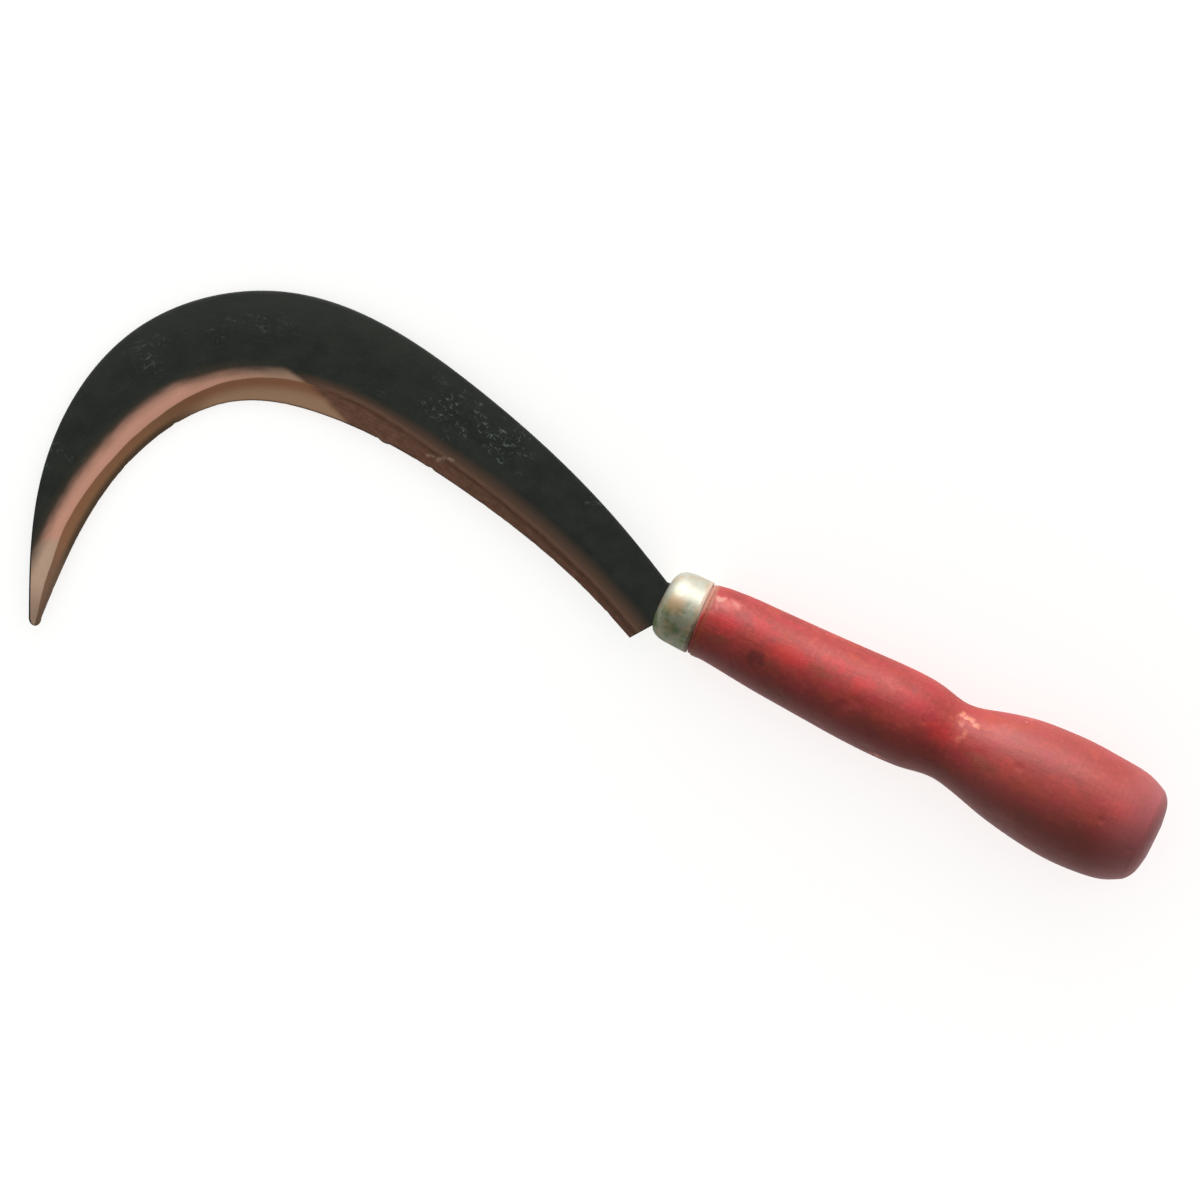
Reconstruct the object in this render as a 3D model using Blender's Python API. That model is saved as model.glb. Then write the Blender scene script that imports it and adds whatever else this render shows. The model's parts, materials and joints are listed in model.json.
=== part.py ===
"""Hand sickle: a forged hook blade whose tang is driven through a cap ferrule into a turned wooden handle.

The sizes below are millimetres in the tool's own frame: the handle's axis is +X with x = 0 at the ferrule's
front, the blade's back faces +Y, and the blade lies flat in the XY plane.  A parent empty then lays the tool
on its side as it rests on a table, on the bulb of the handle and the bow of the blade.
"""
import math

import bmesh
import bpy
import numpy as np
from mathutils import Matrix, Vector

MM = 0.001
GAP = 0.3                   # clearance between touching pieces

# Lying on its side, the handle's axis dips towards the blade and the blade rolls towards its back.
DIP_DEG = 3.13
ROLL_DEG = -2.1

# Blade, seen from above: knots of the back's and the cutting edge's smooth curves, from root to tip.
BACK_KNOTS = ((-0.4, 4.9), (-17.5, 12.9), (-73.2, 30.4), (-133.1, 30.7), (-165.6, 3.5), (-171.6, -44.9),
              (-156.9, -83.1))
EDGE_KNOTS = ((-3.0, -13.7), (-14.7, -9.0), (-63.1, 2.8), (-108.2, 4.5), (-131.7, -2.9), (-151.4, -32.6),
              (-153.7, -81.5))
BLADE_SECTIONS = 34
TIP_LENGTH = 2.3            # the rounded nose past the last knots
TIP_SECTIONS = 4

# Blade thickness above its flat underside, and the bands ground along the edge.
ROOT_THICK = 3.0
TIP_THICK = 1.9
GRIND_WIDTH = 9.3           # from the edge to the top of the ground band
GRIND_MOST = 0.8            # of the blade's width, where the blade is narrow
GRIND_THICK = 0.96          # of the spine's thickness, at the top of the band
CREASE_PLACE = (0.0, 0.52, 0.72, 1.0)       # along the edge: heel, bow, beyond the bow, tip
CREASE_WIDTH = (2.6, 7.0, 3.9, 1.4)         # from the edge to the crease at those places
CREASE_THICK = 0.82         # of the spine's thickness, at the crease
EDGE_THICK = 0.25
BACK_BEVEL_WIDTH = 2.0      # the narrow bevel on the underside
BACK_BEVEL_MOST = 0.3       # of the blade's width
BACK_BEVEL_HEIGHT = 0.35
BLADE_CHAMFER = 0.4
HEEL_STEPS = ((0.4, 0.15), (0.8, 0.5))      # share of the way to the heel, share of the grinding there

# Tang: a straight taper behind the blade's shoulder, which faces the end of the wood.
SHOULDER_X = 1.2
SHOULDER_STEP = 0.1
ROOT_SIDES = (-7.7, 5.0)    # the edge side and the back side of the root
TANG_SIDES = (-5.8, 3.4)
TANG_LENGTH = 80.0
TANG_END_HALF_WIDTH = 1.6
TANG_END_THICK = 2.0
TANG_CORNER = 0.3

# Ferrule: a drawn cap, its outside as (x, radius) from the middle of its front.
FERRULE_LENGTH = 13.0
FERRULE_OUTSIDE = ((0.0, 0.0), (0.05, 4.0), (0.45, 6.6), (1.5, 8.75), (3.6, 10.0), (7.5, 10.55),
                   (12.2, 10.6))
FERRULE_OUTSIDE_POINTS = 14
FERRULE_BORE = 9.6
FERRULE_FRONT_WALL = 1.2
FERRULE_REAR_ROUND = 0.3
SHOULDER_ROUND = (3.8, 3.6)     # the round inside the cap's front: its length and its drop in radius
SHOULDER_ROUND_POINTS = 5

# Handle: the turned grip, neck and bulb as (x, radius), and the flat left in the middle of the butt.
COLLAR_RADIUS = 10.0
GRIP_KNOTS = ((14.3, 10.5), (25.3, 11.4), (50.5, 12.7), (75.0, 13.4), (82.0, 12.8), (89.6, 11.5),
              (97.6, 12.9), (107.7, 15.5), (118.0, 17.0), (127.8, 17.57), (138.0, 17.05), (145.5, 15.8),
              (150.2, 13.6))
GRIP_POINTS = 30
BUTT_SHOULDER = (152.4, 10.6)
BUTT_FACE = (153.5, 5.0)
HOLE_BEYOND_TANG = 2.0
TURNED_SIDES = 40


def smooth_curve(knots, count):
    """Points spaced evenly along the natural cubic spline through the knots."""
    knots = np.array(knots, float)
    along = np.concatenate(([0.0], np.cumsum(np.linalg.norm(np.diff(knots, axis=0), axis=1))))
    step = np.diff(along)
    slope = np.diff(knots, axis=0) / step[:, None]
    size = len(knots)
    matrix = np.eye(size)
    right = np.zeros_like(knots)
    for i in range(1, size - 1):
        matrix[i, i - 1:i + 2] = step[i - 1], 2 * (step[i - 1] + step[i]), step[i]
        right[i] = 6 * (slope[i] - slope[i - 1])
    bend = np.linalg.solve(matrix, right)
    place = np.linspace(0, along[-1], count)
    k = np.clip(np.searchsorted(along, place, side="right") - 1, 0, size - 2)
    h = step[k][:, None]
    a = (along[k + 1] - place)[:, None] / h
    b = (place - along[k])[:, None] / h
    return a * knots[k] + b * knots[k + 1] + ((a**3 - a) * bend[k] + (b**3 - b) * bend[k + 1]) * h**2 / 6


def rounded_shoulder(front_x, radius):
    """A quarter ellipse of (x, radius) points, from the front face to the full radius."""
    length, drop = SHOULDER_ROUND
    points = []
    for angle in np.linspace(0, math.pi / 2, SHOULDER_ROUND_POINTS):
        points.append((front_x + length * (1 - math.cos(angle)), radius - drop * (1 - math.sin(angle))))
    return points


def new_object(name, mesh, parent):
    obj = bpy.data.objects.new(name, mesh)
    bpy.context.collection.objects.link(obj)
    obj.parent = parent
    return obj


def finish_mesh(bm, name, sharp_deg):
    """Turn millimetres into metres, point the faces out and shade the round faces smooth."""
    bmesh.ops.scale(bm, vec=(MM, MM, MM), verts=bm.verts)
    bmesh.ops.recalc_face_normals(bm, faces=bm.faces)
    mesh = bpy.data.meshes.new(name)
    bm.to_mesh(mesh)
    bm.free()
    mesh.shade_smooth()
    mesh.set_sharp_from_angle(angle=math.radians(sharp_deg))
    return mesh


def loft(rings, name, sharp_deg):
    """A closed solid through rings of equal size, with its two ends filled."""
    bm = bmesh.new()
    rows = []
    for ring in rings:
        rows.append([bm.verts.new(point) for point in ring])
    for row, after in zip(rows, rows[1:]):
        for i in range(len(row)):
            j = (i + 1) % len(row)
            bm.faces.new((row[i], row[j], after[j], after[i]))
    bm.faces.new(rows[0])
    bm.faces.new(rows[-1])
    return finish_mesh(bm, name, sharp_deg)


def turn(profile, name, sharp_deg):
    """Spin a profile of (x, radius) about the X axis; both ends of the profile lie on the axis."""
    bm = bmesh.new()
    verts = [bm.verts.new((x, radius, 0.0)) for x, radius in profile]
    edges = [bm.edges.new(pair) for pair in zip(verts, verts[1:])]
    bmesh.ops.spin(bm, geom=verts + edges, cent=(0, 0, 0), axis=(1, 0, 0), angle=2 * math.pi,
                   steps=TURNED_SIDES, use_merge=True, use_duplicate=False)
    bmesh.ops.remove_doubles(bm, verts=bm.verts, dist=1e-4)
    return finish_mesh(bm, name, sharp_deg)


def material(name, colour, roughness, metallic):
    made = bpy.data.materials.new(name)
    made.use_nodes = True
    shader = made.node_tree.nodes["Principled BSDF"]
    shader.inputs["Base Color"].default_value = (*colour, 1.0)
    shader.inputs["Roughness"].default_value = roughness
    shader.inputs["Metallic"].default_value = metallic
    return made


def cut(target, cutter):
    """Subtract the cutter, which stays as a hidden guide."""
    cutter.hide_render = True
    cutter.display_type = "WIRE"
    modifier = target.modifiers.new("cut_" + cutter.name, "BOOLEAN")
    modifier.operation = "DIFFERENCE"
    modifier.solver = "EXACT"
    modifier.object = cutter


def blade_section(width, thick, crease, ground):
    """Nine (distance from the edge, height) points; ground runs from 0 on the tang to 1 on the blade."""
    corner = TANG_CORNER
    chamfer = BLADE_CHAMFER * thick / ROOT_THICK
    grind = min(GRIND_WIDTH, GRIND_MOST * width)
    bevel = min(BACK_BEVEL_WIDTH, BACK_BEVEL_MOST * width)
    bar = ((width, corner), (width, thick - corner), (width - corner, thick), (0.6 * width, thick),
           (0.3 * width, thick), (0.0, thick - corner), (0.0, corner), (corner, 0.0),
           (width - corner, 0.0))
    knife = ((width, chamfer), (width, thick - chamfer), (width - chamfer, thick),
             (grind, GRIND_THICK * thick), (crease, CREASE_THICK * thick),
             (0.0, BACK_BEVEL_HEIGHT + EDGE_THICK), (0.0, BACK_BEVEL_HEIGHT), (bevel, 0.0),
             (width - chamfer, 0.0))
    return (1 - ground) * np.array(bar) + ground * np.array(knife)


def blade_ring(edge, back, thick, crease, ground):
    """The section set between its edge point and its back point, on the flat underside."""
    edge = np.array(edge)
    across = np.array(back) - edge
    width = np.linalg.norm(across)
    ring = []
    for reach, height in blade_section(width, thick, crease, ground):
        x, y = edge + across * reach / width
        ring.append((x, y, height - ROOT_THICK / 2))
    return ring


def tang_rings():
    """The tang's end, its start behind the shoulder, and the shoulder itself."""
    middle = sum(TANG_SIDES) / 2
    end_x = SHOULDER_X + TANG_LENGTH
    end = blade_ring((end_x, middle - TANG_END_HALF_WIDTH), (end_x, middle + TANG_END_HALF_WIDTH),
                     TANG_END_THICK, 0.0, 0.0)
    lift = (ROOT_THICK - TANG_END_THICK) / 2
    rings = [[(x, y, z + lift) for x, y, z in end]]
    for x, (low, high) in ((SHOULDER_X + SHOULDER_STEP, TANG_SIDES), (SHOULDER_X, ROOT_SIDES)):
        rings.append(blade_ring((x, low), (x, high), ROOT_THICK, 0.0, 0.0))
    return rings


def nose_rings(last, edge, back):
    """The nose is half an ellipse: the last section shrinks as it moves on."""
    middle = (edge + back) / 2
    across = back - edge
    onward = np.array((-across[1], across[0])) / np.linalg.norm(across)
    rings = []
    for i in range(1, TIP_SECTIONS + 1):
        angle = 0.47 * math.pi * i / TIP_SECTIONS
        ring = []
        for x, y, z in last:
            placed = middle + (np.array((x, y)) - middle) * math.cos(angle)
            placed = placed + onward * TIP_LENGTH * math.sin(angle)
            ring.append((placed[0], placed[1], z))
        rings.append(ring)
    return rings


def blade_rings():
    """Sections from the tang's end, through the root and the heel, to the tip."""
    rings = tang_rings()
    backs = smooth_curve(BACK_KNOTS, BLADE_SECTIONS)
    edges = smooth_curve(EDGE_KNOTS, BLADE_SECTIONS)
    root_edge = np.array((SHOULDER_X, ROOT_SIDES[0]))
    root_back = np.array((SHOULDER_X, ROOT_SIDES[1]))
    for share, ground in HEEL_STEPS:
        edge = root_edge + (edges[0] - root_edge) * share
        back = root_back + (backs[0] - root_back) * share
        rings.append(blade_ring(edge, back, ROOT_THICK, CREASE_WIDTH[0], ground))
    for place, edge, back in zip(np.linspace(0, 1, BLADE_SECTIONS), edges, backs):
        thick = ROOT_THICK + (TIP_THICK - ROOT_THICK) * place
        crease = np.interp(place, CREASE_PLACE, CREASE_WIDTH)
        rings.append(blade_ring(edge, back, thick, crease, 1.0))
    return rings + nose_rings(rings[-1], edges[-1], backs[-1])


def tang_hole(parent):
    """The tapered hole that the tang fills, a gap wider on every side and open at the front."""
    middle = sum(TANG_SIDES) / 2
    near_x = SHOULDER_X
    far_x = SHOULDER_X + TANG_LENGTH + HOLE_BEYOND_TANG
    near = np.array(((TANG_SIDES[1] - TANG_SIDES[0]) / 2, ROOT_THICK / 2)) + GAP
    far = np.array((TANG_END_HALF_WIDTH, TANG_END_THICK / 2)) + GAP
    mouth_x = near_x - 3.0
    mouth = near + (near - far) * (near_x - mouth_x) / (far_x - near_x)
    rings = []
    for x, (half, tall) in ((mouth_x, mouth), (far_x, far)):
        rings.append([(x, middle - half, -tall), (x, middle + half, -tall), (x, middle + half, tall),
                      (x, middle - half, tall)])
    return new_object("tang_hole_cutter", loft(rings, "tang_hole_cutter", 30), parent)


def root_slot(parent):
    """The slot in the ferrule's front that the blade's root passes through."""
    low, high = ROOT_SIDES
    half = ROOT_THICK / 2 + GAP
    rings = []
    for x in (-2.0, FERRULE_FRONT_WALL + 2.0):
        rings.append([(x, low - GAP, -half), (x, high + GAP, -half), (x, high + GAP, half),
                      (x, low - GAP, half)])
    return new_object("root_slot_cutter", loft(rings, "root_slot_cutter", 30), parent)


def build_blade(parent):
    blade = new_object("blade", loft(blade_rings(), "blade", 25), parent)
    blade.data.materials.append(material("black_forged_steel", (0.022, 0.022, 0.020), 0.45, 0.6))
    return blade


def build_ferrule(parent):
    outside = [tuple(point) for point in smooth_curve(FERRULE_OUTSIDE, FERRULE_OUTSIDE_POINTS)]
    rear_radius = FERRULE_OUTSIDE[-1][1] - FERRULE_REAR_ROUND
    rear = [(FERRULE_LENGTH, rear_radius), (FERRULE_LENGTH, FERRULE_BORE)]
    inside = rounded_shoulder(FERRULE_FRONT_WALL, FERRULE_BORE)[::-1]
    middle = [(FERRULE_FRONT_WALL, 0.0)]
    ferrule = new_object("ferrule", turn(outside + rear + inside + middle, "ferrule", 35), parent)
    ferrule.data.materials.append(material("plated_steel", (0.50, 0.47, 0.36), 0.32, 1.0))
    cut(ferrule, root_slot(parent))
    return ferrule


def build_handle(parent):
    face_x = SHOULDER_X + GAP
    spigot_radius = FERRULE_BORE - GAP
    collar_x = FERRULE_LENGTH + GAP
    spigot = [(face_x, 0.0)] + rounded_shoulder(face_x, spigot_radius)
    collar = [(collar_x, spigot_radius), (collar_x, COLLAR_RADIUS)]
    grip = [tuple(point) for point in smooth_curve(GRIP_KNOTS, GRIP_POINTS)]
    butt = [BUTT_SHOULDER, BUTT_FACE, (BUTT_FACE[0], 0.0)]
    handle = new_object("handle", turn(spigot + collar + grip + butt, "handle", 40), parent)
    handle.data.materials.append(material("red_painted_wood", (0.36, 0.035, 0.03), 0.4, 0.0))
    cut(handle, tang_hole(parent))
    return handle


def lay_down(parent, pieces):
    """Tilt the tool as it rests, with the middle of its box's underside at the origin."""
    dip = Matrix.Rotation(math.radians(-DIP_DEG), 4, "Y")
    roll = Matrix.Rotation(math.radians(ROLL_DEG), 4, "X")
    parent.matrix_world = dip @ roll
    bpy.context.view_layer.update()
    corners = [obj.matrix_world @ vert.co for obj in pieces for vert in obj.data.vertices]
    lowest = Vector([min(corner[i] for corner in corners) for i in range(3)])
    highest = Vector([max(corner[i] for corner in corners) for i in range(3)])
    parent.location = (-(lowest.x + highest.x) / 2, -(lowest.y + highest.y) / 2, -lowest.z)


def main():
    for obj in list(bpy.data.objects):
        bpy.data.objects.remove(obj, do_unlink=True)
    resting = bpy.data.objects.new("sickle", None)
    bpy.context.collection.objects.link(resting)
    pieces = [build_blade(resting), build_ferrule(resting), build_handle(resting)]
    lay_down(resting, pieces)


main()
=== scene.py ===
"""The looks of the hand sickle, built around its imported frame.

Sizes are millimetres in the tool's own frame, as in the part: the handle's axis is +X with x = 0 at the
ferrule's front, the blade's back faces +Y and the blade lies in the XY plane.  The frame's two flat-face
mounts say how that tool frame lies on the floor.
"""
import json
import math

import bmesh
import bpy
import numpy as np
from mathutils import Matrix, Vector, noise

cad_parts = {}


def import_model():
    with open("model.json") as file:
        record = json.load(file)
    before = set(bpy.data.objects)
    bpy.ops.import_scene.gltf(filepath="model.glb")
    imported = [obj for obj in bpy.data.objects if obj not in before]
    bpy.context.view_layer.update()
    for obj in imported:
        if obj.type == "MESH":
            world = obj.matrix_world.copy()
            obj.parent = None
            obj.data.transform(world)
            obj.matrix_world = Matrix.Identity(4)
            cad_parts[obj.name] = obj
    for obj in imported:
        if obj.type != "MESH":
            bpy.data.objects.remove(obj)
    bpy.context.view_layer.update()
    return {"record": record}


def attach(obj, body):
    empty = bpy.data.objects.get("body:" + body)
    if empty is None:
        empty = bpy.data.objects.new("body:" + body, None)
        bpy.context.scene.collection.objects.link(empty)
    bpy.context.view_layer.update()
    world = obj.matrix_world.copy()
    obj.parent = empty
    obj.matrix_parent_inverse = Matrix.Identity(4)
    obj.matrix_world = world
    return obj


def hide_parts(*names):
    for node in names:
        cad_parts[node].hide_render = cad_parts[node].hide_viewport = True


MM = 0.001

# ---- the part's own sizes, in millimetres
BACK_KNOTS = ((-0.4, 4.9), (-17.5, 12.9), (-73.2, 30.4), (-133.1, 30.7), (-165.6, 3.5), (-171.6, -44.9),
              (-156.9, -83.1))
EDGE_KNOTS = ((-3.0, -13.7), (-14.7, -9.0), (-63.1, 2.8), (-108.2, 4.5), (-131.7, -2.9), (-151.4, -32.6),
              (-153.7, -81.5))
TIP_LENGTH = 2.3
ROOT_THICK = 3.0
TIP_THICK = 1.9
SHOULDER_X = 1.2
ROOT_SIDES = (-7.7, 5.0)
TANG_SIDES = (-5.8, 3.4)
TANG_LENGTH = 80.0
TANG_END_HALF_WIDTH = 1.6
TANG_END_THICK = 2.0
GAP = 0.3
FERRULE_LENGTH = 13.0
COLLAR_X = FERRULE_LENGTH + GAP
FERRULE_OUTSIDE = ((0.45, 0.0), (0.5, 4.0), (0.85, 6.6), (1.8, 8.75), (3.8, 10.0), (7.5, 10.5),
                   (12.2, 10.6))
FERRULE_BORE = 9.6
FERRULE_FRONT_WALL = 1.2
FERRULE_RIM_ROUND = 0.45
SHOULDER_ROUND = (3.8, 3.6)
GRIP_KNOTS = ((14.3, 10.5), (25.3, 11.4), (50.5, 12.7), (75.0, 13.4), (82.0, 12.8), (89.6, 11.5),
              (97.6, 12.9), (107.7, 15.5), (118.0, 17.0), (127.8, 17.57), (138.0, 17.05), (145.5, 15.8),
              (150.2, 13.6))
BUTT_KNOTS = ((150.2, 13.6), (151.4, 12.3), (152.5, 10.2), (153.1, 7.6), (153.42, 5.4))
BUTT_X = 153.5

# ---- the blade's ground bands
# A station is the distance along the cutting edge from the heel.
TIP_STATION = 218.0
CREASE_AT = ((-30, 2.5), (0, 2.6), (15, 2.9), (55, 4.2), (83, 5.5), (98, 6.8), (114, 7.1), (133, 5.8),
             (148, 4.5), (171, 4.0), (186, 4.4), (195, 4.3), (203, 3.3), (211, 2.6), (219, 1.2), (240, 1.0))
BAND_TOP = 9.3
LEAST_BAND = 2.6
BAND_SLOPE = 0.10
BAND_CURVE = 1.7
UNDER_BEVEL = (2.0, 0.35)
EDGE_LAND = 0.16
BEVEL_HOLLOW = 0.06         # how far the grindstone left the bevel hollow

# ---- the studio
VIEW_ROLL_DEG = 26.185
VIEW_CENTRE = (-15.1, -7.9, 0.0)
FRAME_WIDTH = 0.336
CAMERA_DISTANCE = 2.5
KEY_ELEVATION_DEG = 26.0
KEY_SPREAD_DEG = 50.0
KEY_STRENGTH = 5.75
SKY_STRENGTH = 0.33


# ==== small maths
def unit(vector):
    return vector / np.linalg.norm(vector)


def smooth_curve(knots, count):
    """Points spaced evenly along the natural cubic spline through the knots."""
    knots = np.array(knots, float)
    along = np.concatenate(([0.0], np.cumsum(np.linalg.norm(np.diff(knots, axis=0), axis=1))))
    step = np.diff(along)
    slope = np.diff(knots, axis=0) / step[:, None]
    size = len(knots)
    matrix = np.eye(size)
    right = np.zeros_like(knots)
    for i in range(1, size - 1):
        matrix[i, i - 1:i + 2] = step[i - 1], 2 * (step[i - 1] + step[i]), step[i]
        right[i] = 6 * (slope[i] - slope[i - 1])
    bend = np.linalg.solve(matrix, right)
    place = np.linspace(0, along[-1], count)
    k = np.clip(np.searchsorted(along, place, side="right") - 1, 0, size - 2)
    h = step[k][:, None]
    a = (along[k + 1] - place)[:, None] / h
    b = (place - along[k])[:, None] / h
    return a * knots[k] + b * knots[k + 1] + ((a**3 - a) * bend[k] + (b**3 - b) * bend[k + 1]) * h**2 / 6


def blend01(x, low, high):
    """0 at low, 1 at high, and a smooth step between; low may be above high."""
    t = np.clip((np.asarray(x, float) - low) / (high - low), 0, 1)
    return t * t * (3 - 2 * t)


def through(x, pairs):
    """Smooth interpolation through (x, value) pairs."""
    xs = np.array([p[0] for p in pairs], float)
    ys = np.array([p[1] for p in pairs], float)
    slopes = np.gradient(ys, xs)
    x = np.clip(np.asarray(x, float), xs[0], xs[-1])
    k = np.clip(np.searchsorted(xs, x, side="right") - 1, 0, len(xs) - 2)
    h = xs[k + 1] - xs[k]
    t = (x - xs[k]) / h
    return ((2 * t**3 - 3 * t**2 + 1) * ys[k] + (t**3 - 2 * t**2 + t) * h * slopes[k]
            + (3 * t**2 - 2 * t**3) * ys[k + 1] + (t**3 - t**2) * h * slopes[k + 1])


# How far the noise is moved from one seed to the next.
SEED_SHIFT = np.array((31.7, -17.3, 7.9))


def wander(points, size, seed):
    """Smooth noise from -1 to 1 at each point, with lumps of the given size."""
    places = np.asarray(points, float) / size + SEED_SHIFT * seed
    return np.array([noise.noise(Vector(place)) for place in places])


# ==== the tool frame
def tool_matrix(record):
    """Where the tool's own frame lies in the row frame, from the two flat-face mounts."""
    mounts = {mount["name"]: mount for mount in record["mounts"]}
    x_axis = Vector(mounts["butt_face"]["axis"]).normalized()
    z_axis = -Vector(mounts["blade_flat"]["axis"]).normalized()
    y_axis = z_axis.cross(x_axis).normalized()
    z_axis = x_axis.cross(y_axis)
    origin = Vector(mounts["butt_face"]["pos_m"]) - x_axis * BUTT_X * MM
    matrix = Matrix((x_axis, y_axis, z_axis)).transposed().to_4x4()
    matrix.translation = origin
    return matrix


# ==== meshes
def scene_object(name, data):
    """A new object in the scene for a mesh, a light or a camera."""
    obj = bpy.data.objects.new(name, data)
    bpy.context.scene.collection.objects.link(obj)
    return obj


def store(mesh, values):
    """Keep each named list of numbers as a float attribute of the mesh's points."""
    for name, value in values.items():
        attribute = mesh.attributes.new(name, "FLOAT", "POINT")
        attribute.data.foreach_set("value", np.asarray(value, np.float32))


def mesh_object(name, points, faces, values, tool):
    """A smooth-shaded mesh from points in the tool frame, with its stored values."""
    mesh = bpy.data.meshes.new(name)
    mesh.from_pydata((np.asarray(points, float) * MM).tolist(), [], faces)
    store(mesh, values)
    mesh.transform(tool)
    mesh.update()
    mesh.shade_smooth()
    return scene_object(name, mesh)


def ring_faces(rings, size):
    """Quads between rings of equal size, with the first and last ring filled."""
    faces = []
    for i in range(rings - 1):
        for j in range(size):
            k = (j + 1) % size
            faces.append((i * size + j, i * size + k, (i + 1) * size + k, (i + 1) * size + j))
    faces.append(tuple(range(size))[::-1])
    faces.append(tuple(range((rings - 1) * size, rings * size)))
    return faces


def face_outwards(obj):
    """Make all face normals point out of the piece."""
    bm = bmesh.new()
    bm.from_mesh(obj.data)
    bmesh.ops.recalc_face_normals(bm, faces=bm.faces)
    bm.to_mesh(obj.data)
    bm.free()


def cut_out(obj, rings, tool):
    """Cut a four-sided bar, given as two rings of tool-frame points, out of the piece."""
    points = [point for ring in rings for point in ring]
    cutter = mesh_object("cutter", points, ring_faces(2, 4), {}, tool)
    face_outwards(cutter)
    modifier = obj.modifiers.new("cut", "BOOLEAN")
    modifier.operation = "DIFFERENCE"
    modifier.solver = "EXACT"
    modifier.object = cutter
    bpy.context.view_layer.update()
    evaluated = obj.evaluated_get(bpy.context.evaluated_depsgraph_get())
    mesh = bpy.data.meshes.new_from_object(evaluated)
    obj.modifiers.clear()
    obj.data = mesh
    bpy.data.objects.remove(cutter)


# ---- blade
class EdgeLine:
    """The cutting edge, carried straight on past the heel and the tip, to measure from."""

    POINTS = 900
    LEAD = 30.0
    LEAD_POINTS = 60
    TAIL = 20.0
    TAIL_POINTS = 40
    CHUNK = 4000            # points measured at once, to keep the arrays small

    def __init__(self):
        line = smooth_curve(EDGE_KNOTS, self.POINTS)
        lead = unit(line[0] - line[3]) * self.LEAD
        tail = unit(line[-1] - line[-4]) * self.TAIL
        before = np.linspace(line[0] + lead, line[0], self.LEAD_POINTS)[:-1]
        after = np.linspace(line[-1], line[-1] + tail, self.TAIL_POINTS)[1:]
        self.line = np.vstack((before, line, after))
        run = np.linalg.norm(np.diff(self.line, axis=0), axis=1)
        self.station = np.concatenate(([0.0], np.cumsum(run))) - self.LEAD
        tangent = np.gradient(self.line, axis=0)
        self.tangent = tangent / np.linalg.norm(tangent, axis=1)[:, None]
        self.normal = np.stack((self.tangent[:, 1], -self.tangent[:, 0]), axis=1)

    def measure(self, points):
        """Station of each plan point, and its distance from the edge towards the back."""
        points = np.asarray(points, float)
        station = np.empty(len(points))
        away = np.empty(len(points))
        for start in range(0, len(points), self.CHUNK):
            part = slice(start, start + self.CHUNK)
            offset = points[part][:, None, :] - self.line[None]
            near = np.argmin((offset**2).sum(axis=2), axis=1)
            gap = offset[np.arange(len(near)), near]
            station[part] = self.station[near] + (gap * self.tangent[near]).sum(axis=1)
            away[part] = (gap * self.normal[near]).sum(axis=1)
        return station, away


def thickness(station):
    return ROOT_THICK + (TIP_THICK - ROOT_THICK) * np.clip(station / TIP_STATION, 0, 1)


def band_top(crease):
    return np.maximum(BAND_TOP, crease + LEAST_BAND)


def top_height(station, away):
    """Height of the upper face: the bevel up to the crease, then the rounded band, then the flat."""
    crease = through(station, CREASE_AT)
    rise = BAND_SLOPE * (band_top(crease) - crease)
    edge_height = UNDER_BEVEL[1] + EDGE_LAND
    crease_height = thickness(station) - rise
    bevel = np.clip(away / crease, 0, 1)
    hollow = BEVEL_HOLLOW * np.sin(math.pi * bevel)
    bevel_height = edge_height + (crease_height - edge_height) * bevel - hollow
    band = np.clip((away - crease) / (band_top(crease) - crease), 0, 1)
    face_height = crease_height + rise * (1 - (1 - band)**BAND_CURVE)
    return np.where(away < crease, bevel_height, face_height)


def under_height(away):
    return UNDER_BEVEL[1] * np.clip(1 - away / UNDER_BEVEL[0], 0, 1)


SMALL_NICKS = 46
# The bigger nicks: station, depth and half width.  A negative depth is a burr.
NICKS = ((73.5, 0.35, 0.8), (89.0, -0.42, 1.6), (90.8, 0.25, 0.5), (151.0, 0.25, 0.7))


def edge_wear(station):
    """How far the cutting edge stands back from its clean line."""
    rng = np.random.default_rng(11)
    wear = np.zeros_like(station)
    for _ in range(SMALL_NICKS):
        place = rng.uniform(4, 214)
        depth = rng.uniform(0.02, 0.10)
        wide = rng.uniform(0.35, 1.1)
        wear += depth * np.exp(-((station - place) / wide)**2)
    for place, depth, wide in NICKS:
        wear += depth * np.exp(-((station - place) / wide)**2)
    return wear * blend01(station, 0.5, 3) * blend01(station, TIP_STATION, TIP_STATION - 4)


BLADE_SECTIONS = 470
HEEL_SECTIONS = 16
NOSE_SECTIONS = 12
BEVEL_COLUMNS = 12
BAND_COLUMNS = 12
FACE_COLUMNS = 26
UNDER_COLUMNS = 22
UNDER_CROWDING = 1.3        # above 1, the underside's columns crowd towards the edge
NOSE_TURN = 0.49 * math.pi  # just short of a quarter turn, so that the last ring keeps a width
SECTION_SAMPLES = 160
SPINE_ROUND = 0.55
SPINE_STEPS = 5
SPINE_MOST = 0.3            # most of a section's width that the spine's round may take
# Where the crease and the band's top fall when a narrow section never reaches them, and their limits,
# as shares of the section's width.
CREASE_FALLBACK = 0.35
CREASE_MOST = 0.6
BAND_FALLBACK = 0.8
BAND_MOST = 0.75


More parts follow.
